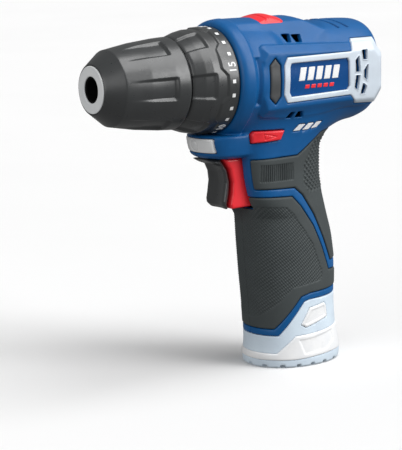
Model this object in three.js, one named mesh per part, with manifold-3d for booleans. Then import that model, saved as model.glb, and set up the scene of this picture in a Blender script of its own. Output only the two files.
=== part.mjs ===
// A compact cordless drill with a slide-in battery, as an assembly of separate parts.
// Millimetres. +X points to the chuck, +Y to the operator's left, +Z up. The origin lies on the
// battery's foot, and the barrel's axis runs parallel to X at AXIS_Z.
import * as THREE from "three";
import { mergeVertices } from "three/addons/utils/BufferGeometryUtils.js";
import Module from "manifold-3d";

const wasm = await Module();
wasm.setup();

// ---- driving dimensions -------------------------------------------------------------------
const AXIS_Z = 160; // barrel axis above the foot
const NOSE_X = 120; // front face of the chuck
const GAP = 0.3; // clearance between parts that meet
const WALL = 3.1; // outside of the handle to its cavity, grip pads included
const PAD = 1.2; // thickness of the grip pads, trims and bands
const SIDE_Y = 28.8; // flat side bosses of the barrel
const SPLIT = GAP / 2; // half of the gap between the two housing halves
const FLATNESS = 0.1; // surface detail smaller than this is merged away

const RING_BACK = 38.5; // rear edge of the rounded front ring
const RING_FRONT = 46;
const DECK_R = 31.6; // crowned deck under the speed selector, about the barrel axis
const DECK_HALF = 14;

const COLLAR = { back: 46.5, front: 73, bore: 22.6 };
const SLEEVE = { back: 73.8, shoulder: 111.4, rear: 24.3, neck: 19.3, nose: 12.8 };
const CHUCK = { bore: 5.6, mouth: 6.6, nose: 12.3, body: 17.2, tilt: 15.5 };
const JAW = { r: 3.1, length: 25, travel: 17.9, open: 5.3, tipX: 102.6 };
const NUT = { back: 88, front: 94, inner: 15.3, outer: 18.8 };

const MODULE = 1; // gear module
const SUN = 9; // teeth
const PLANET = 12;
const RING = 33;
const GEAR_ORBIT = (MODULE * (SUN + PLANET)) / 2;
const STAGE_1 = { back: 12.5, front: 17 };
const STAGE_2 = { back: 23, front: 30 };

const MOTOR = { r: 17.9, back: -44, front: 8, wall: 1.4 };
const ROTOR_R = 13.8;
const CASE = { back: 10, shoulder: 45, front: 71, r: 24.6, bore: 19.9, neck: 18, nose: 12.8 };

const GRIP_TILT = THREE.MathUtils.degToRad(5.5); // battery axis, leaning forward towards the top
const STEM = { x: -5, z: 8, length: 77, wall: 0.8 };
const CELL = { r: 9.1, length: 65, lift: 1.5 };
const TRIGGER_HALF = 10;
// Housing screws: x, z and how far from the middle the head's underside sits.
const SCREWS = [
  [-39, 182.6, 15],
  [-40, 137.4, 14.8],
  [1, 182.6, 15],
  [-14, 124.5, 11.5],
  [41, 126, 13.5],
  [-15.6, 95.5, 10],
];
const SCREW = { r: 1.35, head: 2.8, tipY: 8, boss: 3.1, collar: 4.3 };

// ---- materials ------------------------------------------------------------------------------
const finish = (color, roughness, metalness = 0) => () =>
  new THREE.MeshStandardMaterial({ color, roughness, metalness });
const blue = finish(0x1f4b8f, 0.42);
const blackPlastic = finish(0x2b2d2f, 0.4);
const rubber = finish(0x3f4344, 0.8);
const silver = finish(0xb9c2ca, 0.45);
const red = finish(0xe2343c, 0.45);
const paleBlue = finish(0xafc0d4, 0.5);
const paleWhite = finish(0xe6eaf0, 0.5);
const steel = finish(0xa9acae, 0.35, 1);
const darkSteel = finish(0x6d7072, 0.45, 1);
const nosePlate = finish(0xb9bbbd, 0.5, 0.6);
const copper = finish(0xb06a3a, 0.4, 1);
const clear = finish(0xdfe5ea, 0.15);
const board = finish(0x1d6b3c, 0.6);
const cellWrap = finish(0x2f8f83, 0.5);
const nylon = finish(0x4a4c4f, 0.6);

const drill = new THREE.Group();

// ---- solids ---------------------------------------------------------------------------------
// A closed three.js geometry as a manifold solid, turned to face out.
function solid(geometry) {
  const bare = geometry.clone();
  bare.deleteAttribute("normal");
  bare.deleteAttribute("uv");
  const merged = mergeVertices(bare, 1e-4);
  const vertProperties = merged.attributes.position.array;
  const build = (triVerts) => new wasm.Manifold(new wasm.Mesh({ numProp: 3, vertProperties, triVerts }));
  const triVerts = new Uint32Array(merged.index.array);
  const made = build(triVerts);
  if (made.volume() > 0) return made;
  return build(triVerts.slice().reverse());
}

const join = (first, ...rest) => rest.reduce((sum, part) => sum.add(part), first);
const cut = (first, ...rest) => rest.reduce((left, part) => left.subtract(part), first);

// Adds one named part: a manifold solid with its own material.
function add(name, made, material) {
  const { vertProperties, triVerts } = made.asOriginal().simplify(FLATNESS).getMesh();
  const geometry = new THREE.BufferGeometry();
  geometry.setAttribute("position", new THREE.BufferAttribute(new Float32Array(vertProperties), 3));
  geometry.setIndex(new THREE.BufferAttribute(new Uint32Array(triVerts), 1));
  geometry.computeVertexNormals();
  const mesh = new THREE.Mesh(geometry, material());
  mesh.name = name;
  drill.add(mesh);
}

function box(x0, x1, y0, y1, z0, z1) {
  const geometry = new THREE.BoxGeometry(x1 - x0, y1 - y0, z1 - z0);
  return solid(geometry.translate((x0 + x1) / 2, (y0 + y1) / 2, (z0 + z1) / 2));
}

// A solid turned about the barrel axis: the profile is [x, radius] pairs and closes on the axis
// or on its own first point.
function turned(profile, segments = 24) {
  const points = profile.map(([x, r]) => new THREE.Vector2(r, x));
  const open = profile[0][1] > 0;
  if (open) points.push(points[0].clone());
  const geometry = new THREE.LatheGeometry(points, segments);
  return solid(geometry.rotateZ(-Math.PI / 2).translate(0, 0, AXIS_Z));
}

const shaft = (x0, x1, r, segments) => turned([[x0, 0], [x0, r], [x1, r], [x1, 0]], segments);
const tube = (x0, x1, inner, outer, segments) =>
  turned([[x0, inner], [x0, outer], [x1, outer], [x1, inner]], segments);

// A round bar along Y.
function crossBar(x, z, r, y0, y1, segments = 14) {
  const geometry = new THREE.CylinderGeometry(r, r, y1 - y0, segments);
  return solid(geometry.translate(x, (y0 + y1) / 2, z));
}

const shapeOf = (points) => new THREE.Shape(points.map(([a, b]) => new THREE.Vector2(a, b)));

// An outline in the XZ plane, pushed out from y0 to y1.
function plate(points, y0, y1) {
  const geometry = new THREE.ExtrudeGeometry(shapeOf(points), { depth: y1 - y0, bevelEnabled: false });
  return solid(geometry.rotateX(Math.PI / 2).translate(0, y1, 0));
}

// An outline grown by a distance: each corner moves along the mean of its two edges' normals.
function grown(points, distance) {
  const turn = Math.sign(THREE.ShapeUtils.area(points.map(([x, y]) => ({ x, y }))));
  return points.map((point, i) => {
    const before = points[(i + points.length - 1) % points.length];
    const after = points[(i + 1) % points.length];
    const normal = (a, b) => new THREE.Vector2(b[1] - a[1], a[0] - b[0]).normalize();
    const n1 = normal(before, point);
    const n2 = normal(point, after);
    const mean = n1.clone().add(n2).normalize();
    const step = (turn * distance) / Math.max(mean.dot(n1), 0.35);
    return [point[0] + mean.x * step, point[1] + mean.y * step];
  });
}

// A closed skin over rings of points, with a fan over each end.
function loft(rings) {
  const count = rings[0].length;
  const positions = rings.flat().flatMap((p) => [p.x, p.y, p.z]);
  const index = [];
  for (let i = 0; i + 1 < rings.length; i++) {
    for (let j = 0; j < count; j++) {
      const a = i * count + j;
      const b = i * count + ((j + 1) % count);
      index.push(a, b, b + count, a, b + count, a + count);
    }
  }
  const capEnd = (first, reverse) => {
    const centre = positions.length / 3;
    const middle = new THREE.Vector3();
    for (let j = 0; j < count; j++) {
      middle.x += positions[(first + j) * 3] / count;
      middle.y += positions[(first + j) * 3 + 1] / count;
      middle.z += positions[(first + j) * 3 + 2] / count;
    }
    positions.push(middle.x, middle.y, middle.z);
    for (let j = 0; j < count; j++) {
      const a = first + j;
      const b = first + ((j + 1) % count);
      index.push(...(reverse ? [centre, b, a] : [centre, a, b]));
    }
  };
  capEnd(0, true);
  capEnd((rings.length - 1) * count, false);
  const geometry = new THREE.BufferGeometry();
  geometry.setAttribute("position", new THREE.Float32BufferAttribute(positions, 3));
  geometry.setIndex(index);
  return solid(geometry);
}

// A rounded section: cosine and sine raised to 2/n, so n = 2 is an ellipse and more is squarer.
function rounded(angle, n) {
  const soft = (v) => Math.sign(v) * Math.abs(v) ** (2 / n);
  return [soft(Math.cos(angle)), soft(Math.sin(angle))];
}

// ---- outer forms ----------------------------------------------------------------------------
// Stations of the barrel: x, half width, height above and depth below the axis, squareness.
const BARREL = [
  [RING_FRONT, 28.7, 28.7, 28.7, 2],
  [44.6, 30.3, 30.4, 30.3, 2],
  [42, 31.2, 31.6, 31.2, 2],
  [RING_BACK, 31.4, 31.9, 31.4, 2],
  [37, 29.8, 30, 29.8, 2],
  [30, 29.2, 29.4, 29.4, 2],
  [-20, 28.8, 28.5, 28.8, 2.1],
  [-38, 28.3, 28.2, 28.2, 2.2],
  [-46, 26.8, 27.6, 26, 2.3],
  [-51, 22, 24.3, 21.5, 2.3],
  [-54.5, 16, 20.5, 16, 2.2],
  [-57, 8, 13, 9, 2],
];

function barrel() {
  const count = 24;
  return loft(
    BARREL.map(([x, side, up, down, n]) =>
      Array.from({ length: count }, (_, i) => {
        const [c, s] = rounded((i / count) * 2 * Math.PI, n);
        return new THREE.Vector3(x, side * c, AXIS_Z + (s > 0 ? up : down) * s);
      }),
    ),
  );
}

// Stations of the handle and of the battery's base below it: z, rear x, front x, half width.
const HANDLE = [
  [0, -32.4, 21.6, 21.9],
  [1.3, -33.6, 22.6, 22.8],
  [5, -34, 22.8, 23],
  [12, -32.8, 22, 22.7],
  [20, -30.8, 22.4, 22.2],
  [37, -28.2, 24.1, 21.9],
  [52, -28.4, 25.6, 22.3],
  [68, -28, 26.8, 22.3],
  [86, -24.3, 28, 21.4],
  [96, -22, 31, 21],
  [107, -20.5, 33.5, 20.9],
  [120, -20.7, 34.8, 21.4],
  [128, -25.5, 36.8, 22.2],
  [134, -34, 40, 23.1],
  [140, -41, 43, 24],
];

function handle(inset = 0) {
  const count = 20;
  return loft(
    HANDLE.map(([z, back, front, half]) =>
      Array.from({ length: count }, (_, i) => {
        const [c, s] = rounded((i / count) * 2 * Math.PI, 2.15);
        const middle = (front + back) / 2;
        const reach = (front - back) / 2 - inset;
        return new THREE.Vector3(middle + reach * c, (half - inset) * s, z);
      }),
    ),
  );
}

// The nose under the collar that holds the work light: z, front x, half width.
const POD = [
  [118.8, 54, 14.5],
  [121, 56.4, 16.5],
  [130, 58.4, 17.6],
  [131.3, 57.6, 17.2],
];
const POD_REAR = 40;

function pod() {
  return loft(
    POD.map(([z, front, half]) => {
      const nose = Array.from({ length: 17 }, (_, i) => {
        const [c, s] = rounded(((i - 8) / 16) * Math.PI, 2.1);
        return new THREE.Vector3(POD_REAR + (front - POD_REAR) * c, half * s, z);
      });
      return [new THREE.Vector3(20, -half, z), ...nose, new THREE.Vector3(20, half, z)];
    }),
  );
}

// The deck that carries the speed selector, sloping down behind it.
function deck() {
  const side = [[RING_BACK + 1, 175], [RING_BACK + 1, 192], [-3, 191.8], [-12, 187.5], [-12, 175]];
  return shaft(-13, RING_BACK + 1, DECK_R, 48).intersect(plate(side, -DECK_HALF, DECK_HALF));
}

// Outline of the raised flat on each side of the barrel.
const BOSS = [
  [31.5, 151], [31.5, 170.5], [29.5, 174.3], [-26, 172.8], [-33, 178], [-42, 178],
  [-46.5, 168], [-46.5, 152], [-42, 142.8], [-33, 142.8], [-26, 146.8], [28.5, 145.2],
];

function sideBoss(side) {
  const outline = (points, y) => points.map(([x, z]) => new THREE.Vector3(x, y * side, z));
  return loft([outline(grown(BOSS, 5), 20), outline(grown(BOSS, 0.8), SIDE_Y - 0.8), outline(BOSS, SIDE_Y)]);
}

// The line where the housing ends and the battery's base shows: low in front, high behind.
const SEAM = [[60, 18], [14.5, 18], [1, 36.4], [-3, 37.4], [-60, 38.6]];
const belowSeam = (shift) =>
  plate([...SEAM.map(([x, z]) => [x, z + shift]), [-60, -10], [60, -10]], -40, 40);

const outside = join(
  barrel(), deck(), sideBoss(1), sideBoss(-1), handle().subtract(belowSeam(0)), pod(),
);

const leftOf = (y) => box(-80, 80, y, 60, -20, 220);
const mirrored = (made) => made.mirror([0, 1, 0]);

// ---- battery axis ----------------------------------------------------------------------------
const batteryFrame = new THREE.Matrix4()
  .makeRotationY(GRIP_TILT)
  .setPosition(STEM.x, 0, STEM.z);

const CELL_SPOTS = [
  [-CELL.r - 0.1, -7.95],
  [CELL.r + 0.1, -7.95],
  [0, 7.98],
];

// The rounded triangle around the three cells, wall thickness out from them, between two heights
// on the battery's own axis.
function cellHull(wall, z0, z1) {
  const arcs = [[-150, 0, 0], [-30, 0, 1], [90, 0, 2]];
  const r = CELL.r + wall;
  const points = arcs.flatMap(([middle, , spot]) =>
    Array.from({ length: 7 }, (_, i) => {
      const angle = THREE.MathUtils.degToRad(middle + (i - 3) * 20);
      return [CELL_SPOTS[spot][0] + r * Math.cos(angle), CELL_SPOTS[spot][1] + r * Math.sin(angle)];
    }),
  );
  const geometry = new THREE.ExtrudeGeometry(shapeOf(points), { depth: z1 - z0, bevelEnabled: false });
  return solid(geometry.translate(0, 0, z0).applyMatrix4(batteryFrame));
}

// ---- housing ----------------------------------------------------------------------------------
const TRIM = [
  [18.5, 167.3], [16.4, 171.4], [-26.4, 172], [-31, 178.6], [-46.4, 178.6], [-50, 170], [-47.6, 165.4],
  [-47.6, 154.6], [-50, 149.6], [-46, 143.2], [-30.6, 143.8], [-26, 148.6], [16.6, 147.8], [18.8, 152],
];
const BADGE = [
  [14, 168.4], [-23.8, 168.9], [-25, 167], [-25, 153.8], [-23.6, 151.6], [14, 150.6], [15.2, 153], [14.8, 166.4],
];
const BUMPER = [[24.2, 171.6], [20.9, 167.8], [20.9, 151.4], [24.2, 147.6], [27.6, 151], [27.6, 168]];
const VENTS = [
  [[-31.4, 169.2], [-29, 167.4], [-29.4, 161.4], [-31.8, 161.4]],
  [[-31.8, 158.8], [-29.4, 158.8], [-28.8, 153], [-31, 151.4]],
  [[-34, 172], [-36.6, 172], [-37, 162.6], [-34.6, 162.6]],
  [[-34.6, 158.6], [-37, 158.6], [-36.6, 149.6], [-34, 149.6]],
];
const TOP_VENTS = [
  [[11.1, 182.4], [6.3, 182.2], [8.3, 179], [10.1, 179]],
  [[5.3, 182], [0.5, 181.8], [1.3, 178.8], [3.1, 178.8]],
];
const LOW_VENTS = [
  [[15.4, 139.2], [11.4, 139.2], [12.4, 141.8], [14.4, 141.8]],
  [[9.6, 139.2], [5.4, 139.2], [6.6, 141.8], [8.6, 141.8]],
];
const FRONT_PAD = [
  [60, 89.4], [36, 94.2], [31, 96.4], [8.2, 95.6], [2.9, 90.2], [-5.5, 78.4], [-11.6, 65.8], [-17.4, 52],
  [-40, 50], [-40, 42.4], [-3.4, 41.2], [2.9, 39.6], [16.4, 22], [60, 22],
];
const REAR_PAD = [
  [33, 117], [4.6, 117.8], [-13.6, 128.7], [-40, 131], [-40, 57], [-19.6, 57], [-12.8, 71.6], [-6.8, 84.2],
  [1.1, 95.9], [6.4, 100.4], [31.8, 101],
];

// A layer of the left side's surface inside an outline, PAD thick measured along Y.
const surfaceLayer = (outline) =>
  outside.intersect(plate(outline, 12, 40)).subtract(outside.translate([0, -PAD, 0]));
// A layer of the handle's left half inside an outline, PAD thick all round.
const gripLayer = (outline) =>
  handle().subtract(handle(PAD)).intersect(plate(outline, SPLIT, 40)).subtract(barrelCore);
const barrelCore = shaft(-60, 60, 29.6);

function pockets() {
  const sideFloor = outside.translate([0, -PAD - GAP, 0]);
  const gripFloor = handle(PAD + GAP);
  const side = [TRIM, BUMPER].map((o) => plate(grown(o, GAP), 12, 40).subtract(sideFloor));
  const grip = [FRONT_PAD, REAR_PAD].map((o) =>
    plate(grown(o, GAP), -1, 40).subtract(gripFloor).subtract(shaft(-60, 60, 29.6 - GAP)),
  );
  return join(...side, ...grip);
}

function cavity() {
  const forGears = turned([[-50.6, 0], [-50.6, 17], [-45, 24.6], [-40, 25.4], [47, 25.4], [47, 0]]);
  const inHandle = handle(WALL).intersect(box(-60, 60, -40, 40, 10, 139));
  const inPod = box(30, 52.6, -10.6, 10.6, 121.4, 129.6);
  const forTrigger = box(22, 70, -TRIGGER_HALF - 0.6, TRIGGER_HALF + 0.6, 90.2, 118.7);
  const forStem = cellHull(STEM.wall + 0.7, -9, STEM.length + 2);
  return join(forGears, inHandle, inPod, forTrigger, forStem, mirrored(forStem));
}

// The plates inside the shell that hold the motor, open below for its leads.
function ribs() {
  const rib = (x) => shaft(x, x + 1.6, 26.5).subtract(shaft(x - 1, x + 3, MOTOR.r + 0.35));
  return join(rib(-31), rib(-6)).subtract(box(-60, 60, -9, 9, 120, 150));
}

const screwThread = ([x, z]) => crossBar(x, z, SCREW.r + 0.12, -1, SCREW.tipY + 1, 10);
const screwHole = ([x, z, seat]) =>
  crossBar(x, z, SCREW.r + 0.12, -1, 40, 10).add(crossBar(x, z, SCREW.head + GAP, seat, 40, 12));

function housingHalf(side) {
  const vents = [...VENTS, ...TOP_VENTS, ...LOW_VENTS].map((o) => plate(o, 15, 40));
  const bosses = SCREWS.map(([x, z, seat]) =>
    crossBar(x, z, SCREW.boss, SPLIT, 26, 10)
      .add(crossBar(x, z, SCREW.collar, seat - 3, 26, 10))
      .intersect(outside),
  );
  const left = join(outside.subtract(cavity()), ribs(), ...bosses).intersect(leftOf(SPLIT));
  const screwHoles = SCREWS.map((screw) => (side > 0 ? screwThread(screw) : screwHole(screw)));
  const rest = [
    box(50.7, 70, -12.5, 12.5, 121.7, 130.3),
    box(DIRECTION.x0 - GAP, DIRECTION.x1 + GAP, -40, 40, DIRECTION.z0 - GAP, DIRECTION.z1 + GAP),
    box(SELECTOR.post - 2.3 - SELECTOR.travel, SELECTOR.post + 2.3, -4.3, 4.3, 180, 200),
  ];
  return cut(left, pockets(), ...vents, ...screwHoles, ...rest);
}

const DIRECTION = { x0: 17.2, x1: 32.8, z0: 127, z1: 132.3, reach: 25.6 };
const SELECTOR = { back: 5.8, front: 23, post: 14.4, travel: 6, half: 12.8, top: 33.4 };

// ---- build: housing and its skins --------------------------------------------------------------
add("housing_left", housingHalf(1), blue);
add("housing_right", mirrored(housingHalf(-1)), blue);

const trim = cut(surfaceLayer(TRIM), plate(grown(BADGE, GAP), 10, 40), ...VENTS.map((o) => plate(o, 10, 40)));
const bumper = surfaceLayer(BUMPER);
const triggerRoom = box(20, 80, -TRIGGER_HALF - 0.6, TRIGGER_HALF + 0.6, 88, 120);
const gripFront = gripLayer(FRONT_PAD).subtract(triggerRoom);
const gripRear = gripLayer(REAR_PAD).subtract(triggerRoom);
for (const [side, flip] of [["left", (m) => m], ["right", mirrored]]) {
  const holes = side === "right" ? SCREWS.map(screwHole) : [];
  add(`side_trim_${side}`, flip(trim), silver);
  add(`bumper_insert_${side}`, flip(bumper), rubber);
  add(`grip_front_${side}`, flip(gripFront), rubber);
  add(`grip_rear_${side}`, flip(cut(gripRear, ...holes)), rubber);
}

SCREWS.forEach(([x, z, seat], i) => {
  const drive = crossBar(x, z, 1.1, -seat - 3, -seat - 0.9, 6);
  const stem = crossBar(x, z, SCREW.r, -seat - 1, SCREW.tipY, 10);
  const head = crossBar(x, z, SCREW.head, -seat - 2, -seat - 0.05, 12);
  add(`housing_screw_${i + 1}`, cut(join(stem, head), drive), darkSteel);
});

// ---- speed selector ------------------------------------------------------------------------------
function selector() {
  const { back, front, post, half, top } = SELECTOR;
  const saddle = turned([
    [back, DECK_R + GAP], [back, DECK_R + 0.9], [back + 4.5, top - 0.2], [front - 7, top],
    [front - 2, DECK_R + 0.9], [front, DECK_R + GAP],
  ], 48).intersect(box(back - 1, front + 1, -half, half, 180, 200));
  return saddle.add(box(post - 2, post + 2, -4, 4, 187, 192.2));
}
add("gear_selector", selector(), red);

// ---- gearbox ---------------------------------------------------------------------------------------
// A toothed outline about the origin: thin straight-sided teeth, so that meshed gears keep play.
function toothed(teeth, inward, phase) {
  const pitch = (MODULE * teeth) / 2;
  const root = pitch + (inward ? 1 : -1) * MODULE * 1.1;
  const tip = pitch - (inward ? 1 : -1) * MODULE * 0.8;
  const stops = [[-0.3, root], [-0.11, tip], [0.11, tip], [0.3, root]];
  return Array.from({ length: teeth }, (_, i) =>
    stops.map(([share, r]) => {
      const angle = ((i + share) / teeth) * 2 * Math.PI + phase;
      return new THREE.Vector2(r * Math.cos(angle), r * Math.sin(angle));
    }),
  ).flat();
}

// An outline in the YZ plane about the barrel axis, pushed out along X. Angles run from +Y to +Z.
function gearBlank(shape, x0, x1, y = 0, z = 0) {
  const geometry = new THREE.ExtrudeGeometry(shape, { depth: x1 - x0, bevelEnabled: false });
  const toX = new THREE.Matrix4().set(0, 0, 1, x0, 1, 0, 0, y, 0, 1, 0, AXIS_Z + z, 0, 0, 0, 1);
  return solid(geometry.applyMatrix4(toX));
}

const externalGear = (teeth, x0, x1, phase, y, z) =>
  gearBlank(new THREE.Shape(toothed(teeth, false, phase)), x0, x1, y, z);

function ringGear(x0, x1, phase) {
  const blank = new THREE.Shape(new THREE.Path().absarc(0, 0, CASE.bore - 0.35, 0, 2 * Math.PI).getPoints(7));
  blank.holes.push(new THREE.Path(toothed(RING, true, phase)));
  return gearBlank(blank, x0, x1);
}

// Planet k sits at k thirds of a turn from +Y. The sun has a tooth pointing at +Y, so the first
// planet has a gap there, and so on round the train.
const planetAngle = (k) => (k * 2 * Math.PI) / 3;
const half = (teeth) => Math.PI / teeth;
function planet(stage, k) {
  const angle = planetAngle(k);
  const y = GEAR_ORBIT * Math.cos(angle);
  const z = GEAR_ORBIT * Math.sin(angle);
  // Turned round the sun with the carrier, the planet also rolls by the ratio of their teeth.
  const phase = Math.PI + half(PLANET) + angle + (angle * SUN) / PLANET;
  const bore = shaft(stage.back - 1, stage.front + 1, 1.75, 10).translate([0, y, z]);
  return externalGear(PLANET, stage.back, stage.front, phase, y, z).subtract(bore);
}

// On the outside of the first planet, opposite the sun, the planet has a tooth or a gap.
const ringPhase = PLANET % 2 === 0 ? 0 : half(RING);

function carrierPins(stage, plateX0) {
  const pins = [0, 1, 2].map((k) =>
    shaft(stage.back + 0.4, plateX0 + 0.5, 1.6, 10).translate([
      0, GEAR_ORBIT * Math.cos(planetAngle(k)), GEAR_ORBIT * Math.sin(planetAngle(k)),
    ]),
  );
  return join(...pins);
}

add("motor_shaft", join(
  shaft(-49.4, STAGE_1.back, 1.6, 12), externalGear(SUN, STAGE_1.back - 0.6, STAGE_1.front + 0.2, 0),
), steel);
add("ring_gear_rear", ringGear(STAGE_1.back - 0.6, STAGE_1.front + 0.2, ringPhase), darkSteel);
add("ring_gear_shift", ringGear(STAGE_2.back + 0.4, STAGE_2.front + 0.6, ringPhase), darkSteel);
for (const k of [0, 1, 2]) {
  add(`planet_rear_${k + 1}`, planet(STAGE_1, k), steel);
  add(`planet_front_${k + 1}`, planet(STAGE_2, k), steel);
}
add("carrier_rear", join(
  shaft(STAGE_1.front + 0.5, STAGE_1.front + 3, 14.6, 30), carrierPins(STAGE_1, STAGE_1.front + 0.5),
  externalGear(SUN, STAGE_1.front + 2.9, STAGE_2.front, 0),
), darkSteel);

add("gearbox_case", turned([
  [CASE.back, MOTOR.r - 6], [CASE.back, CASE.r], [CASE.shoulder, CASE.r], [CASE.shoulder, CASE.neck],
  [60, CASE.neck], [60, CASE.nose], [CASE.front, CASE.nose], [CASE.front, 6.6], [67, 6.6], [67, 9.9],
  [60.5, 9.9], [60.5, 6.6], [43, 6.6], [43, CASE.bore], [11.4, CASE.bore], [11.4, MOTOR.r - 6],
]), nylon);
add("spindle_bearing", tube(60.8, 66.8, 6.1, 9.6, 18), steel);

// The output shaft with the second stage's planet carrier and the thread for the chuck.
add("spindle", join(
  shaft(STAGE_2.front + 0.8, STAGE_2.front + 4, 14.6, 30), carrierPins(STAGE_2, STAGE_2.front + 0.8),
  shaft(STAGE_2.front + 3, 84, 5.8, 20),
), steel);

// The clutch spring: a helix round the case's neck, its ends closed by the bevelled tube caps.
function helix(x0, x1, turns, radius, wire, sides, perTurn) {
  class Coil extends THREE.Curve {
    getPoint(t) {
      const angle = t * turns * 2 * Math.PI;
      return new THREE.Vector3(x0 + (x1 - x0) * t, radius * Math.cos(angle), radius * Math.sin(angle));
    }
  }
  const section = new THREE.Path().absarc(0, 0, wire, 0, 2 * Math.PI).getPoints(sides / 2);
  const geometry = new THREE.ExtrudeGeometry(new THREE.Shape(section.slice(0, -1)), {
    extrudePath: new Coil(), steps: Math.round(turns * perTurn), bevelEnabled: false,
  });
  return solid(geometry);
}
add("clutch_spring", helix(47.4, 58.4, 3, 20.1, 0.9, 6, 12).translate([0, 0, AXIS_Z]), steel);

// ---- torque collar and chuck ----------------------------------------------------------------------
add("torque_collar", turned([
  [COLLAR.back, COLLAR.bore], [COLLAR.back, 28], [48.2, 28.2], [53.5, 28], [55, 27.5], [61.5, 27.3],
  [66, 26.4], [COLLAR.front - 0.8, 24.3], [COLLAR.front, 23.6], [COLLAR.front, 14], [COLLAR.front - 9, 14],
  [COLLAR.front - 9, 19], [62, COLLAR.bore],
], 30), blackPlastic);

add("chuck_sleeve", turned([
  [SLEEVE.back, 19.2], [SLEEVE.back, 23.6], [SLEEVE.back + 0.8, SLEEVE.rear], [82, 23.7],
  [SLEEVE.shoulder - 1.5, 19.9], [SLEEVE.shoulder, SLEEVE.neck], [NOSE_X - 0.6, SLEEVE.nose + 0.4],
  [NOSE_X - 0.3, SLEEVE.nose], [NOSE_X - 6, SLEEVE.nose], [NOSE_X - 10, 17.8], [104, 17.8], [98, 19.2],
], 30), blackPlastic);

// One jaw's centre line passes the tip at JAW.open + JAW.r and climbs away from the axis rearwards.
const jawTilt = THREE.MathUtils.degToRad(CHUCK.tilt);
function jawBar(k, r, from, to, sides) {
  const geometry = new THREE.CylinderGeometry(r, r, to - from, sides);
  geometry.rotateZ(-Math.PI / 2).translate((from + to) / 2, 0, 0);
  const place = new THREE.Matrix4()
    .makeTranslation(JAW.tipX, 0, JAW.open + JAW.r)
    .multiply(new THREE.Matrix4().makeRotationY(jawTilt));
  const around = new THREE.Matrix4().makeRotationX(planetAngle(k));
  const toAxis = new THREE.Matrix4().makeTranslation(0, 0, AXIS_Z);
  return solid(geometry.applyMatrix4(toAxis.multiply(around).multiply(place)));
}

function jaw(k) {
  const clampFace = shaft(60, 130, JAW.open, 3).translate([0, 0, -AXIS_Z]);
  const bar = jawBar(k, JAW.r, -JAW.length, 3.2, 12);
  const front = shaft(JAW.tipX, 140, 30, 12);
  return bar.subtract(front).subtract(jawKeepOut(k, clampFace));
}

// The half space towards the axis, whose face is parallel to the axis at the jaw's own gap.
function jawKeepOut(k) {
  const geometry = new THREE.BoxGeometry(120, 40, 20);
  geometry.translate(100, 0, JAW.open - 10);
  geometry.applyMatrix4(new THREE.Matrix4().makeRotationX(planetAngle(k)));
  return solid(geometry.translate(0, 0, AXIS_Z));
}

for (const k of [0, 1, 2]) add(`chuck_jaw_${k + 1}`, jaw(k), darkSteel);

function chuckBody() {
  const blank = turned([
    [SLEEVE.back, 6.4], [SLEEVE.back, CHUCK.body], [NUT.back - 0.3, CHUCK.body],
    [NUT.back - 0.3, NUT.inner - 0.3], [NUT.front + 0.3, NUT.inner - 0.3], [NUT.front + 0.3, CHUCK.body],
    [104, 16.4], [NOSE_X - 7, CHUCK.nose], [NOSE_X, CHUCK.nose], [NOSE_X, CHUCK.mouth],
    [NOSE_X - 1, CHUCK.bore], [86.5, CHUCK.bore], [85.5, 6.4],
  ], 24);
  const slots = [0, 1, 2].map((k) => jawBar(k, JAW.r + 0.3, -JAW.length - 8, JAW.travel + 8, 12));
  return cut(blank, ...slots);
}
add("chuck_body", chuckBody(), nosePlate);
add("chuck_nut", tube(NUT.back, NUT.front, NUT.inner + 0.4, NUT.outer, 24), darkSteel);

// ---- motor -------------------------------------------------------------------------------------------
add("motor_can", turned([
  [MOTOR.back, MOTOR.r - MOTOR.wall], [MOTOR.back, MOTOR.r], [MOTOR.front, MOTOR.r], [MOTOR.front, 5],
  [MOTOR.front + 1.2, 5], [MOTOR.front + 1.2, 2], [MOTOR.front - MOTOR.wall, 2],
  [MOTOR.front - MOTOR.wall, MOTOR.r - MOTOR.wall],
], 24), darkSteel);
add("motor_endbell", join(
  turned([[-49.8, 2.1], [-49.8, 9], [-47, 14], [-47, 17], [-44.3, 17], [-44.3, 2.1]], 20),
  box(-49.6, -46.4, -7.6, -4.4, 143.6, 148), box(-49.6, -46.4, 4.4, 7.6, 143.6, 148),
), nylon);
function rotor() {
  const slots = Array.from({ length: 5 }, (_, i) => {
    const angle = (i * 2 * Math.PI) / 5;
    return shaft(-33, 4, 1.5, 10).translate([0, (ROTOR_R - 0.8) * Math.cos(angle), (ROTOR_R - 0.8) * Math.sin(angle)]);
  });
  return cut(join(tube(-30, 0, 1.75, ROTOR_R, 20), tube(-41, -29.5, 1.75, 5, 16)), ...slots);
}
add("rotor", rotor(), copper);

// ---- switch, trigger, direction selector, light ------------------------------------------------------
const PLUNGER_Z = 105;
const alongX = (x0, x1, r, segments) => shaft(x0, x1, r, segments).translate([0, 0, PLUNGER_Z - AXIS_Z]);
add("switch_body", cut(
  join(box(-10, 20, -9.4, 9.4, 93.4, 120.6), box(-3, 10, -6, 6, 120, 124)), alongX(3.4, 25, 4.3, 16),
), nylon);

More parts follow.
